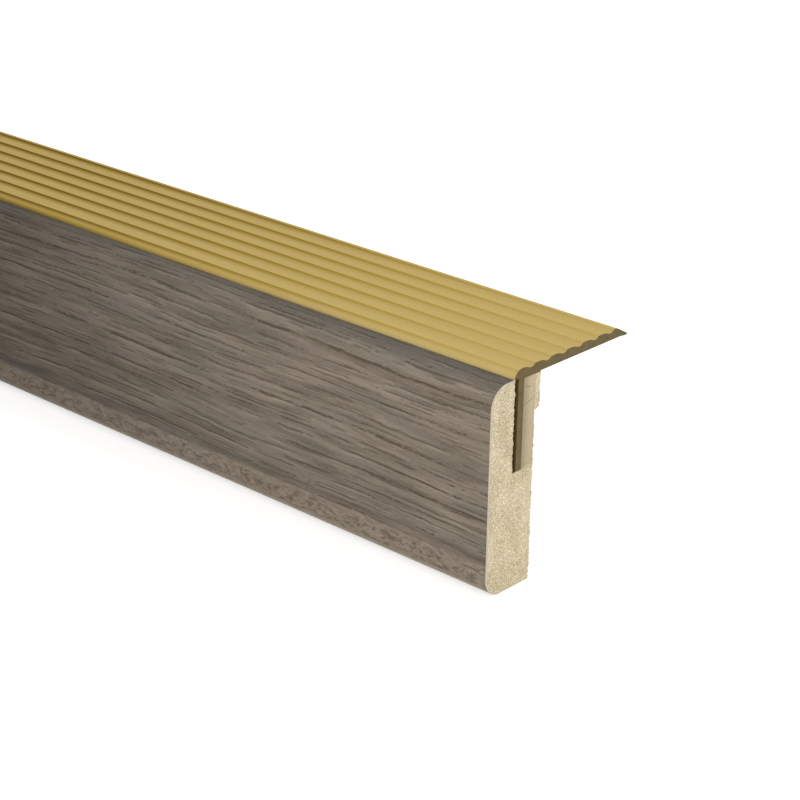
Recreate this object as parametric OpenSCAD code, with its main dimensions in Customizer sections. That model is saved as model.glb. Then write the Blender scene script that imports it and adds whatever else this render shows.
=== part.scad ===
// Stair nosing: a fibreboard board with a wood decor front, and a ribbed metal tread profile in its slot.
// The length runs along X, the decor front faces -Y and the tread flange reaches back to +Y.

/* [Stock] */
// Length that the nosing is sold in
stock_length = 1000; // [300:10:2700]

/* [Board] */
// Height of the board from its foot to the underside of the tread flange
board_height = 48.5; // [42:0.5:70]
// Thickness of the board under the tread flange, decor included
board_thickness = 16; // [14.5:0.1:24]
// Depth of the rebate in the back, below the thick strip
rebate_depth = 1.5; // [0.5:0.1:2.4]
// Height of the thick strip, which backs the edge of the floor covering
strip_height = 8.3; // [5:0.1:15]
// Rise of the strip's lower edge from the rebate to the back
strip_edge_rise = 0.4; // [0.1:0.1:1]

/* [Slot] */
// Front of the decor to the front wall of the slot
slot_setback = 7.6; // [6.5:0.1:8.5]
// Width of the slot
slot_width = 3; // [2.4:0.1:4]
// Depth of the slot from the top of the board
slot_depth = 21; // [12:0.5:28]

/* [Decor] */
// Thickness of the decor laminate
decor_thickness = 0.5; // [0.2:0.1:1]
// Outside radius of the top front edge
top_radius = 5; // [3:0.1:6]
// Outside radius of the bottom front edge
foot_radius = 5; // [3:0.1:6]

/* [Tread profile] */
// Thickness of the leg in the slot
leg_thickness = 1.8; // [1.2:0.1:2.2]
// Thickness of the free flange at the bottom of its grooves
flange_thickness = 1.7; // [1.2:0.1:2.4]
// Relief in the flange's underside, between the thick strip and the lip at the tip
seat_relief = 0.2; // [0.1:0.05:0.4]
// Width of the flat lip under the tip
lip_width = 1; // [0.6:0.1:1.5]
// Run over which the underside comes down to the lip
lip_run = 1.2; // [0.5:0.1:3]
// Lap of the nose on the decor in front of the slot
nose_lap = 0.3; // [0.1:0.1:1.2]
// Flat top of the first ridge, behind the round of the nose
nose_flat = 0.3; // [0.2:0.1:3]
// Flat top of a ridge between two grooves
ridge_flat = 1.2; // [0.6:0.1:4]
// Flat top of the last ridge, before the taper
tail_flat = 0.4; // [0.2:0.1:3]
// Run of the taper from the last ridge to the tip
taper_run = 4.3; // [3:0.1:8]
// Radius between the last ridge and the taper
taper_radius = 2; // [0.8:0.1:3]
// Radius of the tip
tip_radius = 0.25; // [0.15:0.05:0.5]

/* [Grooves] */
// Number of grooves, one fewer than the ridges
groove_count = 6; // [2:1:12]
// Run of a groove's gentle side, which falls away from the nose
groove_fall = 2.7; // [2:0.1:3.6]
// Run of a groove's steep side, which rises to the next ridge
groove_rise = 1.5; // [1.4:0.1:2.4]
// Depth of a groove
groove_depth = 0.6; // [0.3:0.05:0.8]
// Radius in the bottom of a groove
groove_radius = 1.6; // [0.6:0.1:1.6]

/* [Hidden] */
$fn = 96;

// How far a cutting shape runs past the material that it cuts
past = 1;
// How far the taper is cut inside the tangent of its two rounds, so that it crosses them cleanly
tangent_cut = 0.002;

// Directions in the section
FRONT = [-1, 0];
UP = [0, 1];
DOWN = [0, -1];

// Heights
slot_floor_z = board_height - slot_depth;
strip_z = board_height - strip_height;
decor_top_z = board_height + decor_thickness;
seat_z = board_height + seat_relief;
crest_z = seat_z + flange_thickness + groove_depth;

// The round of the nose is centred level with the board's top and is cut off by the decor
nose_radius = crest_z - board_height;
nose_reach = sqrt(nose_radius * nose_radius - decor_thickness * decor_thickness);

groove_width = groove_fall + groove_rise;
groove_pitch = groove_width + ridge_flat;
grooves_run = groove_count * groove_width + (groove_count - 1) * ridge_flat;
groove_centre_z = crest_z - groove_depth + groove_radius;

// Places from front to back, with the middle of the whole depth at zero
total_depth = slot_setback - nose_lap + nose_reach + nose_flat + grooves_run + tail_flat + taper_run;
front_y = -total_depth / 2;
back_y = front_y + board_thickness;
rebate_y = back_y - rebate_depth;
slot_front_y = front_y + slot_setback;
slot_back_y = slot_front_y + slot_width;
leg_front_y = slot_back_y - leg_thickness;
nose_y = slot_front_y - nose_lap + nose_reach;
first_groove_y = nose_y + nose_flat + groove_fall;
tail_y = nose_y + nose_flat + grooves_run + tail_flat;
tip_y = tail_y + taper_run;
lip_y = tip_y - lip_width;

// The taper is the common tangent of the round behind the last ridge and the round of the tip
taper_centre = [tail_y, crest_z - taper_radius];
tip_centre = [tip_y - tip_radius, board_height + tip_radius];
centre_line = tip_centre - taper_centre;
taper_normal_angle = atan2(centre_line.y, centre_line.x)
    + acos((taper_radius - tip_radius) / norm(centre_line));
taper_normal = [cos(taper_normal_angle), sin(taper_normal_angle)];

// Sweeps a section, drawn front to back and upwards, along the length
module along_length() {
    rotate([90, 0, 90]) linear_extrude(stock_length, center = true) children();
}

// What a round takes off the corner between two faces whose outward normals are u and v
module corner_waste(centre, radius, u, v) {
    reach = radius + past;
    difference() {
        polygon([centre, centre + reach * u, centre + reach * (u + v) / (1 + u * v), centre + reach * v]);
        translate(centre) circle(radius);
    }
}

// Rounded front of the board as far as the slot, set in from its outside all round
module rounded_front(inset) {
    difference() {
        translate([front_y + inset, inset])
            square([slot_setback - inset, decor_top_z - 2 * inset]);
        corner_waste([front_y + foot_radius, foot_radius], foot_radius - inset, FRONT, DOWN);
        corner_waste([front_y + top_radius, decor_top_z - top_radius], top_radius - inset, FRONT, UP);
    }
}

// Board behind the front, with its thick strip, down to the flat that it stands on
module rear_section() {
    foot_flat_y = front_y + foot_radius;
    translate([foot_flat_y, 0]) square([rebate_y - foot_flat_y, slot_floor_z]);
    translate([slot_front_y, 0]) square([rebate_y - slot_front_y, board_height]);
    polygon([
        [rebate_y - past / 2, strip_z],
        [rebate_y, strip_z],
        [back_y, strip_z + strip_edge_rise],
        [back_y, board_height],
        [rebate_y - past / 2, board_height]
    ]);
}

module slot_section() {
    translate([slot_front_y, slot_floor_z]) square([slot_width, slot_depth + past]);
}

// The decor is one band, from the slot over the top round, down the front and under the bottom round
module decor_section() {
    foot_flat_y = front_y + foot_radius;
    difference() {
        rounded_front(0);
        rounded_front(decor_thickness);
        translate([foot_flat_y, -past]) square([slot_setback, slot_floor_z]);
    }
}

// One side of a groove, from its lowest line out to the flat top of the ridge. The shoulder is an arc
// that meets the flat top and the groove's round without a corner
module groove_side(run) {
    shoulder_radius = (run * run + groove_depth * groove_depth) / (2 * groove_depth) - groove_radius;
    shoulder_z = crest_z - shoulder_radius;
    // The two arcs meet on the line between their centres
    meet = shoulder_radius / (shoulder_radius + groove_radius);
    meet_y = run * (1 - meet);
    meet_z = shoulder_z + (groove_centre_z - shoulder_z) * meet;
    // It laps the groove's round, whose lowest line lies at zero
    lap_y = -meet_y / 2;
    difference() {
        polygon([
            [lap_y, meet_z],
            [meet_y, meet_z],
            [run, crest_z],
            [run, crest_z + groove_radius],
            [lap_y, crest_z + groove_radius]
        ]);
        translate([run, shoulder_z]) circle(shoulder_radius);
    }
}

// Ridges are left between round-bottomed grooves that fall gently and rise steeply
module groove_section() {
    translate([0, groove_centre_z]) circle(groove_radius);
    groove_side(groove_rise);
    mirror([1, 0]) groove_side(groove_fall);
}

// What the taper takes off the back of the flange, down to the round tip
module taper_waste() {
    taper_start = taper_centre + (taper_radius - tangent_cut) * taper_normal;
    taper_end = tip_centre + (tip_radius - tangent_cut) * taper_normal;
    down_taper = (taper_end - taper_start) / norm(taper_end - taper_start);
    polygon([
        taper_start - taper_radius * down_taper,
        taper_end + 4 * past * down_taper,
        taper_end + 4 * past * down_taper + nose_radius * taper_normal,
        taper_start - taper_radius * down_taper + nose_radius * taper_normal
    ]);
    corner_waste(taper_centre, taper_radius, UP, taper_normal);
    corner_waste(tip_centre, tip_radius, taper_normal, DOWN);
}

// An upside-down L: the leg stands in the slot, and the flange runs from the nose back to the tip
module profile_section() {
    nose_front_y = nose_y - nose_radius;
    end_y = tip_y + past;
    difference() {
        polygon([
            [leg_front_y, slot_floor_z],
            [slot_back_y, slot_floor_z],
            [slot_back_y, board_height],
            [back_y, board_height],
            [back_y, seat_z],
            [lip_y - lip_run, seat_z],
            [lip_y, board_height],
            [end_y, board_height],
            [end_y, crest_z],
            [nose_front_y, crest_z],
            [nose_front_y, decor_top_z],
            [leg_front_y, decor_top_z]
        ]);
        corner_waste([nose_y, board_height], nose_radius, FRONT, UP);
        for (i = [0 : groove_count - 1])
            translate([first_groove_y + i * groove_pitch, 0]) groove_section();
        taper_waste();
    }
}

module core_board() {
    color("burlywood") along_length() difference() {
        union() {
            rounded_front(decor_thickness);
            rear_section();
        }
        slot_section();
    }
}

module decor_laminate() {
    color("dimgray") along_length() decor_section();
}

module tread_profile() {
    color("darkkhaki") along_length() profile_section();
}

core_board();
decor_laminate();
tread_profile();
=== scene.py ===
import math

import bmesh
import bpy
from mathutils import Matrix, Vector, noise


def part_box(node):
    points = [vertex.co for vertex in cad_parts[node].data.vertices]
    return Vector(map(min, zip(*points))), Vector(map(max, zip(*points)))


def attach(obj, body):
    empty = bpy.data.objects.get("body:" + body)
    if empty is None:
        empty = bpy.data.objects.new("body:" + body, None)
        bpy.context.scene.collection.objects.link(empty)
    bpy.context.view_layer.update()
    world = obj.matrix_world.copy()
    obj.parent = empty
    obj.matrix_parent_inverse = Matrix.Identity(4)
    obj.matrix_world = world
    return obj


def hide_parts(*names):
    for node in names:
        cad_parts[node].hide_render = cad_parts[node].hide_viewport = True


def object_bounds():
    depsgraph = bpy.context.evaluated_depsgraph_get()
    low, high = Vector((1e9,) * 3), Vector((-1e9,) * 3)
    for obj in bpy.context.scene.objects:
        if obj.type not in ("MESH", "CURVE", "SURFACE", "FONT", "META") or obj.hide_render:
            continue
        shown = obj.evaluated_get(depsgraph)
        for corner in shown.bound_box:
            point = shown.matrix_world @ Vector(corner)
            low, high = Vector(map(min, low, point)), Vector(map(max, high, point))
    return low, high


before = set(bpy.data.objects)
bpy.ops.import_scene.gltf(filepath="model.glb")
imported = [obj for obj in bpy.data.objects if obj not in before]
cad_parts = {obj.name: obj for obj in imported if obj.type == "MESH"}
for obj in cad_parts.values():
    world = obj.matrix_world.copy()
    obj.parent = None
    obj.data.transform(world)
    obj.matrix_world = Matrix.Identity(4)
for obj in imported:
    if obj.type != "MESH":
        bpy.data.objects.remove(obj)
cadLow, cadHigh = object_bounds()
print("frame loaded")

# where the pieces lie, read from the frame
coreLow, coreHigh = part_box("core_board")
decorLow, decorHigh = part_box("decor_laminate")
treadLow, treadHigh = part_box("tread_profile")
nearEnd, farEnd = cadHigh.x, cadLow.x
frontY, backY = decorLow.y, coreHigh.y
boardTop, slotFloor = coreHigh.z, treadLow.z
slotFrontY = decorHigh.y
decorThickness = coreLow.y - decorLow.y

section = {  # metres, as in the CAD
    "slotWidth": 0.003,
    "legThickness": 0.0018,
    "rebateDepth": 0.0015,
    "stripHeight": 0.0083,
    "stripEdgeRise": 0.0004,
    "roundRadius": 0.005,  # both rounds of the decor front
    "seatRelief": 0.0002,
    "sharpDegrees": 28.0,  # corners steeper than this stay crisp
}
rebateY = backY - section["rebateDepth"]
slotBackY = slotFrontY + section["slotWidth"]
legFrontY = slotBackY - section["legThickness"]


# outlines of the cut end

class SectionPen:
    def __init__(self, y, z):
        self.mesh = bmesh.new()
        self.fuzz = self.mesh.verts.layers.float.new("fuzz")  # how far a point frays at the cut
        self.wrap = self.mesh.verts.layers.float.new("wrap")  # how far round the outline it lies
        self.tip = self.mesh.verts.new((nearEnd, y, z))

    def line(self, y, z, pointGap=None, fuzz=0.0):
        goal = Vector((nearEnd, y, z))
        length = (goal - self.tip.co).length
        pieces = max(1, round(length / pointGap)) if pointGap else 1
        stride = (goal - self.tip.co) / pieces
        for _ in range(pieces):
            travelled = self.tip[self.wrap] + stride.length
            grown = bmesh.ops.extrude_vert_indiv(self.mesh, verts=[self.tip])
            self.tip = grown["verts"][0]
            self.tip.co += stride
            self.tip[self.fuzz], self.tip[self.wrap] = fuzz, travelled

    def arc(self, centreY, centreZ, degrees, steps):
        travelled, first = self.tip[self.wrap], len(self.mesh.verts)
        radius = (self.tip.co - Vector((nearEnd, centreY, centreZ))).length
        stepLength = radius * math.radians(abs(degrees)) / steps
        bmesh.ops.spin(
            self.mesh, geom=[self.tip], cent=(nearEnd, centreY, centreZ), axis=(1, 0, 0),
            angle=math.radians(degrees), steps=steps, use_merge=False, use_duplicate=False)
        self.mesh.verts.ensure_lookup_table()
        for count, vert in enumerate(self.mesh.verts[first:], 1):
            vert[self.wrap] = travelled + count * stepLength
            self.tip = vert

    def sweep(self, cuts=()):  # closes the outline and draws it out along the whole length
        self.tip[self.wrap] = 0.0  # the last point is merged with the first
        bmesh.ops.remove_doubles(self.mesh, verts=self.mesh.verts, dist=1e-6)
        end = bmesh.ops.contextual_create(self.mesh, geom=self.mesh.edges[:])["faces"]
        swept = bmesh.ops.extrude_face_region(self.mesh, geom=end)["geom"]
        moved = [part for part in swept if isinstance(part, bmesh.types.BMVert)]
        bmesh.ops.translate(self.mesh, verts=moved, vec=(farEnd - nearEnd, 0, 0))
        for depth in cuts:
            for cutX in (nearEnd - depth, farEnd + depth):
                parts = self.mesh.verts[:] + self.mesh.edges[:] + self.mesh.faces[:]
                bmesh.ops.bisect_plane(
                    self.mesh, geom=parts, plane_co=(cutX, 0, 0), plane_no=(1, 0, 0))
        bmesh.ops.recalc_face_normals(self.mesh, faces=self.mesh.faces)
        return self.mesh


def finishPiece(sketch, name, node, sideMaterial, endMaterial):
    mesh = bpy.data.meshes.new(name)
    sketch.to_mesh(mesh)
    sketch.free()
    mesh.polygons.foreach_set("use_smooth", [True] * len(mesh.polygons))
    mesh.set_sharp_from_angle(angle=math.radians(section["sharpDegrees"]))
    mesh.materials.append(sideMaterial)
    mesh.materials.append(endMaterial)
    for face in mesh.polygons:
        facesAlong = abs(face.normal.x) > 0.7
        face.material_index = 1 if facesAlong else 0
    piece = bpy.data.objects.new(name, mesh)
    bpy.context.scene.collection.objects.link(piece)
    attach(piece, "root")
    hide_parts(node)
    print("made", name, len(mesh.polygons), "faces")


# shader building

class Value:  # one output of a node, ready for maths
    def __init__(self, bench, socket):
        self.bench, self.socket = bench, socket

    def __add__(self, other):
        return self.bench.maths("ADD", self, other)

    def __radd__(self, other):
        return self.bench.maths("ADD", other, self)

    def __sub__(self, other):
        return self.bench.maths("SUBTRACT", self, other)

    def __rsub__(self, other):
        return self.bench.maths("SUBTRACT", other, self)

    def __mul__(self, other):
        return self.bench.maths("MULTIPLY", self, other)

    def __rmul__(self, other):
        return self.bench.maths("MULTIPLY", other, self)

    def __truediv__(self, other):
        return self.bench.maths("DIVIDE", self, other)

    def __abs__(self):
        return self.bench.maths("ABSOLUTE", self)

    def whole(self):
        return self.bench.maths("FLOOR", self)

    def remainder(self):
        return self.bench.maths("FRACT", self)


class Bench:  # adds nodes to one tree
    def __init__(self, tree):
        self.tree = tree

    def fill(self, node, sockets):
        for key, value in sockets.items():
            if isinstance(value, Value):
                self.tree.links.new(value.socket, node.inputs[key])
            else:
                node.inputs[key].default_value = value

    def add(self, kind, settings=None, sockets=None, output=0):
        node = self.tree.nodes.new(kind)
        for key, value in (settings or {}).items():
            if key == "stops":
                while len(node.color_ramp.elements) < len(value):
                    node.color_ramp.elements.new(1.0)
                for element, (position, colour) in zip(node.color_ramp.elements, value):
                    element.position, element.color = position, (*colour, 1.0)
            else:
                setattr(node, key, value)
        self.fill(node, sockets or {})
        return Value(self, node.outputs[output])

    def outputs(self, kind, *names, sockets=None):  # more than one output of the same node
        node = self.add(kind, None, sockets).socket.node
        return [Value(self, node.outputs[name]) for name in names]

    def maths(self, operation, first, second=0.0):
        return self.add("ShaderNodeMath", {"operation": operation}, {0: first, 1: second})

    def sight(self):  # 1 where the camera, a mirror or a glass looks
        seen, mirrored, through = self.outputs(
            "ShaderNodeLightPath", "Is Camera Ray", "Is Glossy Ray", "Is Transmission Ray")
        return self.maths("MAXIMUM", self.maths("MAXIMUM", seen, mirrored), through)


class Finish(Bench):  # a material round one Principled shader
    def __init__(self, name):
        self.material = bpy.data.materials.new(name)
        self.material.use_nodes = True
        super().__init__(self.material.node_tree)
        self.place = self.add("ShaderNodeTexCoord", output="Object")

    def dress(self, **sockets):  # values or links of the shader's own sockets
        named = {socket.replace("_", " "): value for socket, value in sockets.items()}
        self.fill(self.tree.nodes["Principled BSDF"], named)
        return self.material

    def axes(self):
        return self.outputs("ShaderNodeSeparateXYZ", "X", "Y", "Z", sockets={0: self.place})

    def point(self, x, y, z):
        return self.add("ShaderNodeCombineXYZ", None, {0: x, 1: y, 2: z})

    def attribute(self, name):
        return self.add("ShaderNodeAttribute", {"attribute_name": name}, output="Fac")

    # soft noise, one unit of which is size metres along each axis
    def cloud(self, size, detail=2.0, roughness=0.5, distortion=0.0, shift=(0, 0, 0), point=None):
        scale = [1.0 / length for length in size]
        spot = self.add("ShaderNodeMapping", None, {
            "Vector": point or self.place, "Location": shift, "Scale": scale})
        return self.add("ShaderNodeTexNoise", None, {
            "Vector": spot, "Scale": 1.0, "Detail": detail, "Roughness": roughness,
            "Distortion": distortion})

    def between(self, value, low, high, first=0.0, last=1.0):  # smooth step from first to last
        return self.add("ShaderNodeMapRange", {"interpolation_type": "SMOOTHSTEP"}, {
            "Value": value, "From Min": low, "From Max": high, "To Min": first, "To Max": last})

    def near(self, value, centre, reach):  # 1 at the centre, 0 from the reach outwards
        return self.between(abs(value - centre), 0.0, reach, 1.0, 0.0)

    def blend(self, factor, first, second, way="MIX"):
        first, second = [c if isinstance(c, Value) else (*c, 1.0) for c in (first, second)]
        return self.add("ShaderNodeMix", {"data_type": "RGBA", "blend_type": way},
                        {0: factor, 6: first, 7: second}, output=2)

    def shades(self, value, *stops):  # a colour for a value
        return self.add("ShaderNodeValToRGB", {"stops": stops}, {0: value})

    def tones(self, value, *stops):  # a grey for a value
        return self.shades(value, *[(position, (level,) * 3) for position, level in stops])

    def shade(self, colour, value):  # multiplies a colour by a value
        grey = self.add("ShaderNodeCombineColor", None, {0: value, 1: value, 2: value})
        return self.blend(1.0, colour, grey, "MULTIPLY")

    def relief(self, height, depth):  # depth in metres
        return self.add("ShaderNodeBump", None, {"Height": height, "Distance": depth, "Strength": 1.0})


# gold anodised tread profile

tread = {
    "noseFlat": 0.0003,
    "ridgeFlat": 0.0012,
    "tailFlat": 0.0004,
    "taperRadius": 0.002,
    "tipRadius": 0.00025,
    "lipWidth": 0.001,
    "lipRun": 0.0012,
    "grooves": 6,
    "grooveFall": 0.0027,  # gentle side, towards the nose
    "grooveRise": 0.0015,  # steep side, towards the tip
    "grooveDepth": 0.0006,
    "grooveRadius": 0.0016,
    "arcSteps": 8,
    "goldColour": (0.600, 0.458, 0.178),
    "grazingColour": (0.82, 0.74, 0.52),
    "paintedLightColour": (0.680, 0.555, 0.250),
    "grooveShadeColour": (0.132, 0.072, 0.011),
    "grooveShadeFilter": (1.0, 0.92, 0.55),  # makes the painted shade on the metal yellower
    "darkestTurn": 0.235,  # share of a pitch from a groove's lowest line to its darkest one
    "grooveShadeStops": [  # strength of the painted shade, from one darkest line to the next
        (0.0, 1.0), (0.05, 0.0), (0.55, 0.0), (0.76, 0.05), (0.86, 0.22), (0.92, 0.56), (1.0, 1.0)],
    "paintedLightTurn": (0.63, 0.20),  # middle and reach of a rougher stretch at the foot of a gentle side, painted paler as painted light
    "noseLine": (0.0025, 0.0019),  # in front of the nose's centre, where its painted dark edge fades
    "tailLine": (0.0006, 0.0007),  # behind the last ridge, middle and reach of its painted dark edge
    "edgeShadeStrength": 0.6,
    "paleReach": (0.300, 0.540),  # distance from mid-length over which the painted shades pale
    "endShadeShare": 0.12,  # how much of a groove's painted shade is left at the ends
    # painted light: the gold is painted brighter towards the ends, over this distance from mid-length
    "endLightReach": (0.300, 0.520),
    "midShadeLevel": 0.82,  # painted shade: how much of the gold's brightness is left away from the ends
    # the cut end is painted as the gold in shade: darker brown, olive and mauve
    "sawnShadeBrown": (0.128, 0.087, 0.030),
    "sawnShadeOlive": (0.104, 0.092, 0.029),
    "sawnShadeMauve": (0.138, 0.094, 0.046),
}
noseRadius = treadHigh.z - boardTop
noseTurn = math.asin(decorThickness / noseRadius)  # where the decor cuts the nose's round off
noseY = treadLow.y + noseRadius * math.cos(noseTurn)
groovePitch = tread["grooveFall"] + tread["grooveRise"] + tread["ridgeFlat"]
firstLowY = noseY + tread["noseFlat"] + tread["grooveFall"]
tailY = firstLowY + (tread["grooves"] - 1) * groovePitch + tread["grooveRise"] + tread["tailFlat"]


def goldFinish():
    gold = Finish("goldAnodised")
    x, y, _ = gold.axes()
    drawn = gold.cloud((0.07, 0.00014, 0.00014))  # die lines along the length
    haze = gold.cloud((0.03, 0.008, 0.008), detail=3.0)

    # painted shade: each groove is darkened from its lowest line up its steep side, stopping short
    # near the top
    turn = ((y - firstLowY) / groovePitch - tread["darkestTurn"]).remainder()
    onGrooves = gold.between(y, tailY - 0.0003, tailY, 1.0, 0.0)
    grooves = gold.tones(turn, *tread["grooveShadeStops"]) * onGrooves
    # painted light: the foot of each gentle side is painted paler, and is also rougher
    roughPaintedLight = gold.near(turn, *tread["paintedLightTurn"])
    noseStart, noseEnd = tread["noseLine"]
    tailMiddle, tailReach = tread["tailLine"]
    # painted shade along the nose's edge and behind the last ridge
    edges = gold.near(y, tailY + tailMiddle, tailReach)
    edges = edges + gold.between(y, noseY - noseStart, noseY - noseEnd, 1.0, 0.0)
    away = gold.between(abs(x), *tread["paleReach"], 1.0, 0.0)
    fade = away * (1.0 - tread["endShadeShare"]) + tread["endShadeShare"]
    paintedShade = (grooves + edges * away * tread["edgeShadeStrength"]) * fade

    ground = gold.blend(roughPaintedLight * onGrooves, tread["goldColour"], tread["paintedLightColour"])
    # painted shade of the grooves and edges, darkening and yellowing the gold
    ground = gold.blend(paintedShade, ground, tread["grooveShadeColour"])
    ground = gold.blend(gold.between(paintedShade, 0.0, 0.4), ground, tread["grooveShadeFilter"], "MULTIPLY")
    level = gold.between(abs(x), *tread["endLightReach"], tread["midShadeLevel"], 1.0)
    return gold.dress(
        Metallic=1.0,
        Specular_Tint=(*tread["grazingColour"], 1.0),
        Base_Color=gold.shade(ground, level * (0.93 + 0.08 * drawn + 0.06 * haze)),
        Roughness=0.40 + 0.10 * haze + 0.06 * drawn + 0.12 * roughPaintedLight,
        Normal=gold.relief(drawn, 0.000005))


def sawnMetalFinish():
    sawn = Finish("sawnGoldEnd")
    _, y, _ = sawn.axes()
    teeth = sawn.cloud((0.01, 0.00025, 0.004))
    patch = sawn.cloud((0.01, 0.0026, 0.0022))
    # painted shade: the gold's colour darkened, in patches, and olive towards the tip
    ground = sawn.shades(
        patch, (0.40, tread["sawnShadeOlive"]), (0.47, tread["sawnShadeBrown"]),
        (0.56, tread["sawnShadeBrown"]), (0.64, tread["sawnShadeMauve"]))
    onTip = sawn.between(y, tailY - 0.0015, tailY + 0.0010, 0.0, 0.8)
    ground = sawn.blend(onTip, ground, tread["sawnShadeOlive"])
    return sawn.dress(
        Metallic=0.7,
        Base_Color=sawn.shade(ground, 0.80 + 0.25 * teeth + 0.15 * patch),
        Roughness=0.5 + 0.1 * teeth,
        Normal=sawn.relief(teeth, 0.00001))


def makeTread():
    crestZ, steps = treadHigh.z, tread["arcSteps"]
    seatZ = boardTop + section["seatRelief"]
    fall, rise = tread["grooveFall"], tread["grooveRise"]
    depth, radius = tread["grooveDepth"], tread["grooveRadius"]
    turns, shoulders = [], []
    for run in (fall, rise):  # a shoulder's arc is tangent to the ridge and to the groove's round
        reach = (run ** 2 + depth ** 2) / (2 * depth)
        shoulders.append(reach - radius)
        turns.append(math.degrees(math.asin(run / reach)))

    pen = SectionPen(legFrontY, slotFloor)
    pen.line(legFrontY, decorHigh.z)
    pen.line(treadLow.y, decorHigh.z)
    pen.arc(noseY, boardTop, math.degrees(noseTurn) - 90, 2 * steps)
    for groove in range(tread["grooves"]):
        lowY = firstLowY + groove * groovePitch
        pen.line(lowY - fall, crestZ)
        pen.arc(lowY - fall, crestZ - shoulders[0], -turns[0], steps)
        pen.arc(lowY, crestZ - depth + radius, turns[0] + turns[1], 2 * steps)
        pen.arc(lowY + rise, crestZ - shoulders[1], -turns[1], steps)
    pen.line(tailY, crestZ)

    # the taper is the common tangent of the round behind the last ridge and the round of the tip
    centreZ, tipRadius = crestZ - tread["taperRadius"], tread["tipRadius"]
    tipY, tipZ = treadHigh.y - tipRadius, boardTop + tipRadius
    across, down = tipY - tailY, tipZ - centreZ
    spread = math.acos((tread["taperRadius"] - tipRadius) / math.hypot(across, down))
    lean = 90 - math.degrees(math.atan2(down, across) + spread)
    pen.arc(tailY, centreZ, -lean, steps)
    tipAngle = math.radians(90 - lean)
    pen.line(tipY + tipRadius * math.cos(tipAngle), tipZ + tipRadius * math.sin(tipAngle))
    pen.arc(tipY, tipZ, lean - 180, steps)
    lipY = treadHigh.y - tread["lipWidth"]
    pen.line(lipY, boardTop)
    pen.line(lipY - tread["lipRun"], seatZ)
    pen.line(backY, seatZ)
    pen.line(backY, boardTop)
    pen.line(slotBackY, boardTop)
    pen.line(slotBackY, slotFloor)
    pen.line(legFrontY, slotFloor)
    finishPiece(
        pen.sweep(), "treadProfile", "tread_profile",
        goldFinish(), sawnMetalFinish())


# wood decor laminate round the front

decor = {
    "arcSteps": 20,
    "darkColour": (0.150, 0.121, 0.090),
    "midColour": (0.208, 0.170, 0.128),
    "lightColour": (0.258, 0.214, 0.164),
    "greenishColour": (0.172, 0.164, 0.124),
    "pinkishColour": (0.226, 0.172, 0.138),
    "greyColour": (0.190, 0.166, 0.144),
    "poreColour": (0.070, 0.053, 0.035),
    # colour of the painted glints
    "paintedGlintColour": (0.330, 0.280, 0.222),
    "grainSway": 0.006,
    "grainFlutter": 0.0008,
    "poreRows": [  # gap, dash length, half thickness, noise from which a dash shows, depth, shift
        (0.0043, 0.0160, 0.00110, 0.48, 0.24, 2.6),
        (0.0029, 0.0150, 0.00042, 0.47, 0.64, 1.3),
        (0.0018, 0.0100, 0.00032, 0.48, 0.54, 7.9),
        (0.0010, 0.0054, 0.00020, 0.50, 0.27, 4.1),
    ],
    "deepestPore": 0.8,
    "darkStretches": [(0.280, 0.21, 0.65), (-0.16, 0.22, 0.35)],  # middle, half length, strength
    "lowerFront": (0.024, 0.036, 0.07),  # from, to and by how much the front darkens downwards
    # colour of the painted shade along the decor's top
    "topShadeColour": (0.098, 0.088, 0.076),
    "topStrip": (0.0026, 0.0076),  # painted shade: from the slot, fading round the top
    "topReach": (0.360, 0.470),  # distance from mid-length over which the strip grows stronger
    "topStrength": (0.30, 0.82),
    "bandStart": 0.0460,  # the crinkled band lies round the foot
    "bandColour": (0.214, 0.170, 0.127),
    "bandSpeck": (0.112, 0.084, 0.057),
    "bandLight": (0.350, 0.286, 0.218),
    # painted light from the floor on the lowest edge of the foot
    "footPaintedLight": (0.510, 0.442, 0.322),
    "bandEdge": (-0.0002, 0.0009),  # these lie so far into the band
    "specksStart": (0.0010, 0.0020),
    "specksFade": (0.0052, 0.0068),
    "footEdge": (0.0050, 0.0080),
    "bandShadow": (0.0010, 0.0016, 0.25),  # height above the band, reach and strength
    "edgeColour": (0.660, 0.560, 0.450),
}


def decorGround(oak, spot, grain):  # the wood without its pores
    patch = oak.cloud((0.045, 0.0055, 1.0), point=grain)
    streak = oak.cloud((0.020, 0.0017, 1.0), shift=(3, 1, 0), point=grain)
    hue = oak.cloud((0.020, 0.0045, 1.0), detail=1.0, shift=(8, 3, 0), point=spot)
    faded = oak.cloud((0.016, 0.0040, 1.0), detail=1.0, shift=(3, 7, 0), point=spot)
    tone = 0.5 + (patch - 0.5) * 0.45 + (streak - 0.5) * 0.85
    ground = oak.shades(
        tone, (0.36, decor["darkColour"]), (0.5, decor["midColour"]), (0.62, decor["lightColour"]))
    ground = oak.blend(oak.between(hue, 0.50, 0.66, 0.0, 0.36), ground, decor["greenishColour"])
    ground = oak.blend(oak.between(hue, 0.34, 0.50, 0.45, 0.0), ground, decor["pinkishColour"])
    return oak.blend(oak.between(faded, 0.50, 0.66, 0.0, 0.36), ground, decor["greyColour"])


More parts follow.
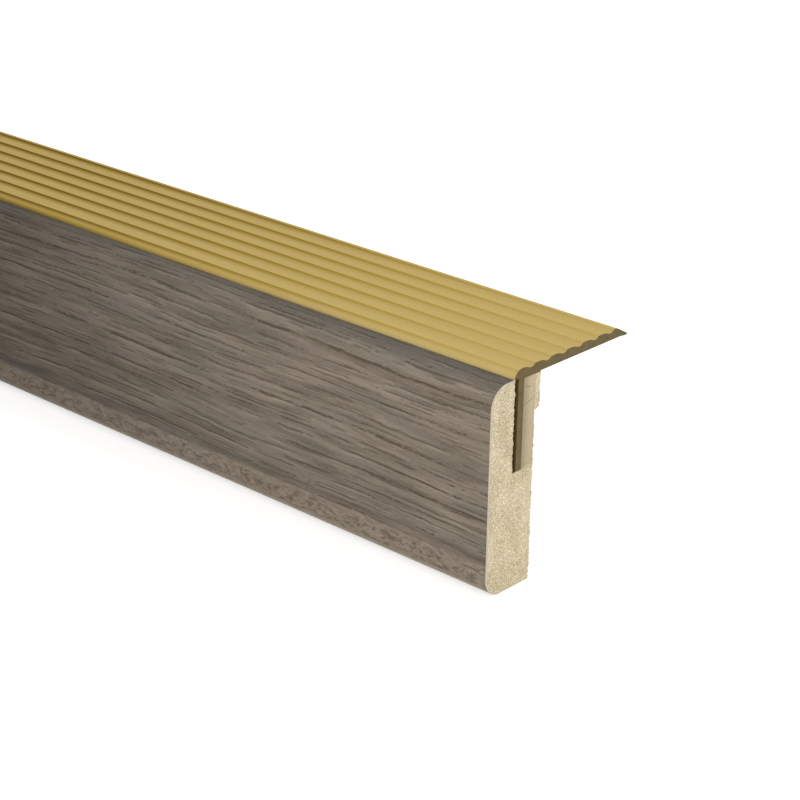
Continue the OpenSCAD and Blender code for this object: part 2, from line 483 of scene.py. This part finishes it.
def decorPores(oak, x, course, grain):  # rows of torn dashes, each with a pale rim along one side: partly printed, partly a painted highlight of the embossed edge
    torn = oak.cloud((0.0014, 0.00045, 1.0), detail=1.0, shift=(4, 4, 0), point=grain)
    pores, rimHighlights = 0.0, 0.0
    for gap, length, thickness, showing, depth, shift in decor["poreRows"]:
        rows = course / gap + shift
        offRow = (rows.remainder() - 0.5) * gap
        ownPlace = oak.point(x, rows.whole() * 3.7, shift)  # each row has its own dashes
        dash = oak.cloud((length, 1.0, 1.0), detail=1.0, point=ownPlace) + (torn - 0.5) * 0.34
        onDash = oak.between(dash, showing - 0.02, showing + 0.08) * depth
        pores = pores + onDash * oak.near(offRow, 0.0, thickness)
        rimHighlights = rimHighlights + onDash * oak.near(offRow, thickness * 1.5, thickness)
    return oak.maths("MINIMUM", pores, decor["deepestPore"]), rimHighlights


def decorBand(oak, crinkle, intoBand):
    specks = oak.between(crinkle, 0.40, 0.50, 0.6, 0.0) * oak.between(intoBand, *decor["specksStart"])
    specks = specks * oak.between(intoBand, *decor["specksFade"], 1.0, 0.25)
    band = oak.shades(crinkle, (0.40, decor["bandColour"]), (0.62, decor["bandLight"]))
    band = oak.blend(specks, band, decor["bandSpeck"])
    # painted light: the lowest edge of the foot is lightened
    return oak.blend(oak.between(intoBand, *decor["footEdge"]), band, decor["footPaintedLight"])


def decorFinish():
    oak = Finish("greyOakDecor")
    x, _, _ = oak.axes()
    wrap = oak.attribute("wrap")
    spot = oak.point(x, wrap, 0.0)
    sway = oak.cloud((0.110, 0.030, 1.0), detail=1.0, point=spot)
    flutter = oak.cloud((0.0065, 0.0026, 1.0), shift=(5, 2, 0), point=spot)
    course = wrap + sway * decor["grainSway"] + flutter * decor["grainFlutter"]
    grain = oak.point(x, course, 0.0)
    fibre = oak.cloud((0.0034, 0.00048, 1.0), detail=3.0, roughness=0.6, shift=(1, 6, 0), point=grain)
    # painted glints: small pale flecks where the embossed surface catches the light
    glint = oak.cloud((0.0008, 0.00030, 1.0), detail=1.0, shift=(6, 5, 0), point=spot)
    crinkle = oak.cloud(
        (0.0026, 0.0011, 1.0), detail=4.0, roughness=0.75, distortion=0.8, shift=(2, 9, 0), point=spot)

    intoBand = wrap + (flutter - 0.5) * 0.0008 - decor["bandStart"]
    inBand = oak.between(intoBand, *decor["bandEdge"])
    # painted shade on the top of the decor, where less light falls
    topShade = oak.between(wrap + (flutter - 0.5) * 0.002, *decor["topStrip"], 1.0, 0.0)
    topShade = topShade * oak.between(abs(x), *decor["topReach"], *decor["topStrength"])
    onFront = 1.0 - inBand * 0.85
    pores, rimHighlights = [marks * onFront for marks in decorPores(oak, x, course, grain)]
    ground = oak.blend(topShade, decorGround(oak, spot, grain), decor["topShadeColour"])
    ground = oak.blend(pores, ground, decor["poreColour"])
    ground = oak.blend(oak.between(glint, 0.63, 0.72, 0.0, 0.45), ground, decor["paintedGlintColour"])
    ground = oak.blend(inBand * 0.85, ground, decorBand(oak, crinkle, intoBand))

    shadowHeight, shadowReach, shadowStrength = decor["bandShadow"]
    shadow = oak.near(wrap, decor["bandStart"] - shadowHeight, shadowReach) * shadowStrength
    lowStart, lowEnd, lowStrength = decor["lowerFront"]
    lower = oak.between(wrap, lowStart, lowEnd, 0.0, lowStrength)
    level = (0.83 + 0.32 * fibre + 0.26 * rimHighlights) * (1.0 - shadow) * (1.0 - lower)
    for middle, halfLength, strength in decor["darkStretches"]:
        darkest = 1.0 - strength * (1.0 - inBand * 0.22)
        level = level * oak.between(abs(x - middle), 0.0, halfLength, darkest, 1.0)
    level = level * (1.0 - inBand * 0.06)
    height = 1.0 - pores * 0.8 + fibre * 0.2 + crinkle * inBand * 0.6
    return oak.dress(
        Specular_IOR_Level=0.12,
        Base_Color=oak.shade(ground, level),
        Roughness=0.55 + 0.15 * pores,
        Normal=oak.relief(height, 0.00014))


def decorEdgeFinish():
    edge = Finish("laminateEdge")
    fibre = edge.cloud((0.01, 0.0003, 0.0004))
    darker = [part * 0.7 for part in decor["edgeColour"]]
    return edge.dress(
        Specular_IOR_Level=0.1,
        Base_Color=edge.shades(fibre, (0.35, darker), (0.6, decor["edgeColour"])),
        Roughness=0.6 + 0.2 * fibre)


def makeDecor():
    radius, steps = section["roundRadius"], decor["arcSteps"]
    centreY, topZ = frontY + radius, decorHigh.z
    pen = SectionPen(slotFrontY, topZ)
    pen.line(centreY, topZ)
    pen.arc(centreY, topZ - radius, 90, steps)
    pen.line(frontY, radius)
    pen.arc(centreY, radius, 90, steps)
    pen.line(centreY, decorThickness)
    pen.arc(centreY, radius, -90, steps)
    pen.line(frontY + decorThickness, topZ - radius)
    pen.arc(centreY, topZ - radius, -90, steps)
    pen.line(slotFrontY, topZ - decorThickness)
    pen.line(slotFrontY, topZ)
    finishPiece(
        pen.sweep(), "decorLaminate", "decor_laminate",
        decorFinish(), decorEdgeFinish())


# fibreboard core

core = {
    "arcSteps": 12,
    "pointGap": 0.0003,
    "fuzzReach": 0.00024,
    "fuzzSeed": 4,  # the same fray at every run
    "fuzzScales": (1900, 4100),  # coarse and fine, in units of the noise to a metre
    "rimCuts": (0.00015, 0.0005, 0.0012, 0.003),
    "faceColour": (0.47, 0.37, 0.23),
    "endColour": (0.590, 0.505, 0.325),
    "pinkColour": (0.605, 0.485, 0.340),
    "darkSpeck": (0.400, 0.314, 0.194),
    "paleSpeck": (0.900, 0.800, 0.570),
    # colour of the painted shadow that the leg casts on the cut end
    "legShadowColour": (0.478, 0.390, 0.256),
    "slotShade": 0.5,  # how much darker the board is inside the slot
    "legShade": (0.0028, 0.62),  # how far behind the slot, and to what level, the painted shadow is darker
    "sawLineReach": 0.00024,
    "sawLines": [  # each from one point of the cut end to another, as y and z
        (-0.0121, 0.0424, -0.0088, 0.0432),
        (-0.0196, 0.0427, -0.0177, 0.0428),
        (-0.0122, 0.0467, -0.0097, 0.0458),
    ],
}


def fibreFaceFinish():
    face = Finish("fibreboardFace")
    _, y, z = face.axes()
    fibre = face.cloud((0.004, 0.0006, 0.0006), detail=3.0)
    cloudy = face.cloud((0.03, 0.01, 0.01))
    inSlot = face.near(y, (slotFrontY + slotBackY) / 2, 0.0022)
    inSlot = inSlot * face.between(z, slotFloor - 0.001, slotFloor)
    slotShade = face.between(inSlot, 0.1, 0.2, 0.0, core["slotShade"])
    level = (0.75 + 0.35 * fibre + 0.15 * cloudy) * (1.0 - slotShade)
    return face.dress(
        Specular_IOR_Level=0.1,
        Base_Color=face.shade(core["faceColour"], level),
        Roughness=0.7 + 0.2 * fibre,
        Normal=face.relief(fibre, 0.00005))


def sawScores(end, y, z):  # fine lines that the saw scratched into the cut end
    scores = 0.0
    for fromY, fromZ, toY, toZ in core["sawLines"]:
        run = toY - fromY
        offLine = z - fromZ - (y - fromY) * ((toZ - fromZ) / run)
        onLine = end.near(offLine, 0.0, core["sawLineReach"])
        scores = scores + onLine * end.near(y, (fromY + toY) / 2, run * 0.75)
    return scores


def fibreEndFinish():
    end = Finish("fibreboardEnd")
    _, y, z = end.axes()
    grain = end.cloud((0.0006, 0.00020, 0.00030), roughness=0.6)
    speck = end.cloud((0.0006, 0.00022, 0.00030), detail=1.0, shift=(2, 4, 6))
    pit = end.cloud((0.0006, 0.00024, 0.00036), detail=1.0, shift=(7, 1, 3))
    broad = end.cloud((0.01, 0.004, 0.006))
    gathered = (broad - 0.5) * 0.30  # pale specks gather where dark ones are few
    ground = end.shades(
        grain + (broad - 0.5) * 0.15,
        (0.30, core["darkSpeck"]), (0.5, core["endColour"]), (0.72, core["paleSpeck"]))
    pink = end.shade(core["pinkColour"], 0.6 + 0.8 * grain)
    ground = end.blend(end.between(broad, 0.45, 0.60, 0.0, 0.5), ground, pink)
    ground = end.blend(end.between(speck + gathered, 0.58, 0.66), ground, core["paleSpeck"])
    ground = end.blend(end.between(pit - gathered, 0.59, 0.69, 0.0, 0.85), ground, core["darkSpeck"])

    # painted shadow of the leg on the strip behind the slot: darker towards the leg, its grain
    # flattened
    legShadow = end.between(y, slotBackY - 0.0002, slotBackY + 0.0001)
    legShadow = legShadow * end.between(y, rebateY - 0.0002, rebateY + 0.0001, 1.0, 0.0)
    legShadow = legShadow * end.between(z, slotFloor - 0.001, slotFloor + 0.001)
    legReach, legLevel = core["legShade"]
    beside = end.between(y, slotBackY, slotBackY + legReach, legLevel, 1.0)
    shadowStrip = end.shade(core["legShadowColour"], beside * (0.9 + 0.2 * broad))
    ground = end.blend(legShadow * 0.85, ground, shadowStrip)

    scores = sawScores(end, y, z)
    scored = [part * 0.7 for part in core["darkSpeck"]]
    return end.dress(
        Specular_IOR_Level=0.1,
        Base_Color=end.blend(scores * 0.85, ground, scored),
        Roughness=0.8 + 0.15 * grain,
        Normal=end.relief(grain * (1.0 - legShadow * 0.8) - scores * 0.5, 0.00012))


def frayEnds(mesh, fuzz):  # moves the points along the sawn rims, less and less away from the cut
    noise.seed_set(core["fuzzSeed"])
    reach = core["rimCuts"][-1]
    coarse, fine = core["fuzzScales"]
    for vert in mesh.verts:
        inward = min(nearEnd - vert.co.x, vert.co.x - farEnd)
        if vert[fuzz] > 0 and inward < reach:
            fade = (1 - inward / reach) ** 3 * vert[fuzz] * core["fuzzReach"]
            pull = 0.6 * noise.noise_vector(vert.co * coarse) + noise.noise_vector(vert.co * fine)
            vert.co += Vector((0, pull.y, pull.z)) * fade
            vert.co.z = max(vert.co.z, 0.0)  # the foot stays on the floor


def makeCore():
    radius, steps, gap = section["roundRadius"], core["arcSteps"], core["pointGap"]
    centreY, inner = frontY + radius, radius - decorThickness
    stripZ = boardTop - section["stripHeight"]
    pen = SectionPen(centreY, boardTop)
    pen.arc(centreY, boardTop - inner, 90, steps)
    pen.line(frontY + decorThickness, radius)
    pen.arc(centreY, radius, 90, steps)
    pen.line(centreY, 0)
    pen.line(rebateY, 0, gap, 1.0)
    pen.line(rebateY, stripZ, gap, 1.3)
    pen.line(backY, stripZ + section["stripEdgeRise"], gap, 1.0)
    pen.line(backY, boardTop, gap, 1.0)
    pen.line(slotBackY, boardTop, gap)
    pen.line(slotBackY, slotFloor, gap)
    pen.line(slotFrontY, slotFloor, gap, 0.5)
    pen.line(slotFrontY, boardTop, gap, 1.3)
    pen.line(centreY, boardTop)
    mesh = pen.sweep(core["rimCuts"])
    frayEnds(mesh, pen.fuzz)
    finishPiece(
        mesh, "coreBoard", "core_board",
        fibreFaceFinish(), fibreEndFinish())


makeTread()
makeDecor()
makeCore()
print("pieces made")


# camera

camera = {
    "place": (0.75898, -0.33629, 0.21992),
    "turnLeft": 42.22,  # degrees from looking along +Y
    "lookDown": 23.13,
    "roll": 0.907,
    "lens": 96.72,  # millimetres on the sensor's width
    "sensor": 36.0,
    "nearest": 0.01,
}


def placeCamera():
    lens = bpy.data.cameras.new("camera")
    lens.lens, lens.sensor_width, lens.clip_start = camera["lens"], camera["sensor"], camera["nearest"]
    holder = bpy.data.objects.new("camera", lens)
    turn = Matrix.Rotation(math.radians(camera["turnLeft"]), 4, "Z")
    tilt = Matrix.Rotation(math.radians(90 - camera["lookDown"]), 4, "X")
    roll = Matrix.Rotation(math.radians(camera["roll"]), 4, "Z")
    holder.matrix_world = Matrix.Translation(camera["place"]) @ turn @ tilt @ roll
    bpy.context.scene.collection.objects.link(holder)
    bpy.context.scene.camera = holder


placeCamera()
print("camera placed")


# studio

studio = {
    "floorSize": 8.0,
    "floorColour": (0.80, 0.80, 0.80),
    "floorGlow": (0.55, 0.62),  # near the object and far off, not cast on the object
    "glowReach": (1.0, 3.0),
    "skyColour": (1.0, 1.0, 1.0),
    "ambient": 0.50,
    "lamps": {  # place, width, watts, whether metal shows it
        "frontLow": ((0.7, -1.3, 0.30), 0.9, 9.0, False),
        "endLow": ((1.7, -0.3, 0.35), 0.8, 7.0, True),
        "farEndLow": ((-1.7, -0.1, 0.45), 0.8, 7.0, False),
        "backLow": ((-0.2, 1.4, 0.35), 1.0, 9.0, False),
        "backSoft": ((0.2, 0.8, 1.7), 1.2, 10.0, False),
    },
    "target": (0.42, 0.0, 0.025),
}


def floorFinish():
    pale = Finish("paleFloor")
    away = pale.add("ShaderNodeVectorMath", {"operation": "LENGTH"}, {0: pale.place}, output="Value")
    closeBy, farOff = studio["glowReach"]
    first, last = studio["floorGlow"]
    glow = pale.add("ShaderNodeMapRange", None, {
        "Value": away, "From Min": closeBy, "From Max": farOff, "To Min": first, "To Max": last})
    return pale.dress(
        Base_Color=(*studio["floorColour"], 1.0),
        Roughness=0.9,
        Specular_IOR_Level=0.0,
        Emission_Color=glow * pale.sight(),
        Emission_Strength=1.0)


def makeFloor():
    sketch = bmesh.new()
    bmesh.ops.create_grid(sketch, x_segments=1, y_segments=1, size=studio["floorSize"] / 2)
    mesh = bpy.data.meshes.new("floor")
    sketch.to_mesh(mesh)
    sketch.free()
    mesh.materials.append(floorFinish())
    floor = bpy.data.objects.new("floor", mesh)
    bpy.context.scene.collection.objects.link(floor)


def makeWorld():
    world = bpy.data.worlds.new("studio")
    bpy.context.scene.world = world
    world.use_nodes = True
    sky = Bench(world.node_tree)
    strength = studio["ambient"] + sky.sight() * (1.0 - studio["ambient"])
    sky.fill(world.node_tree.nodes["Background"], {
        "Color": (*studio["skyColour"], 1.0), "Strength": strength})


def makeLamps():
    target = Vector(studio["target"])
    for name, (place, width, watts, mirrored) in studio["lamps"].items():
        light = bpy.data.lights.new(name, "AREA")
        light.size, light.energy = width, watts
        lamp = bpy.data.objects.new(name, light)
        lamp.location, lamp.visible_glossy = place, mirrored
        lamp.rotation_euler = (target - Vector(place)).to_track_quat("-Z", "Y").to_euler()
        bpy.context.scene.collection.objects.link(lamp)


makeFloor()
makeWorld()
makeLamps()
bpy.context.scene.view_settings.view_transform = "Standard"
print("studio lit")
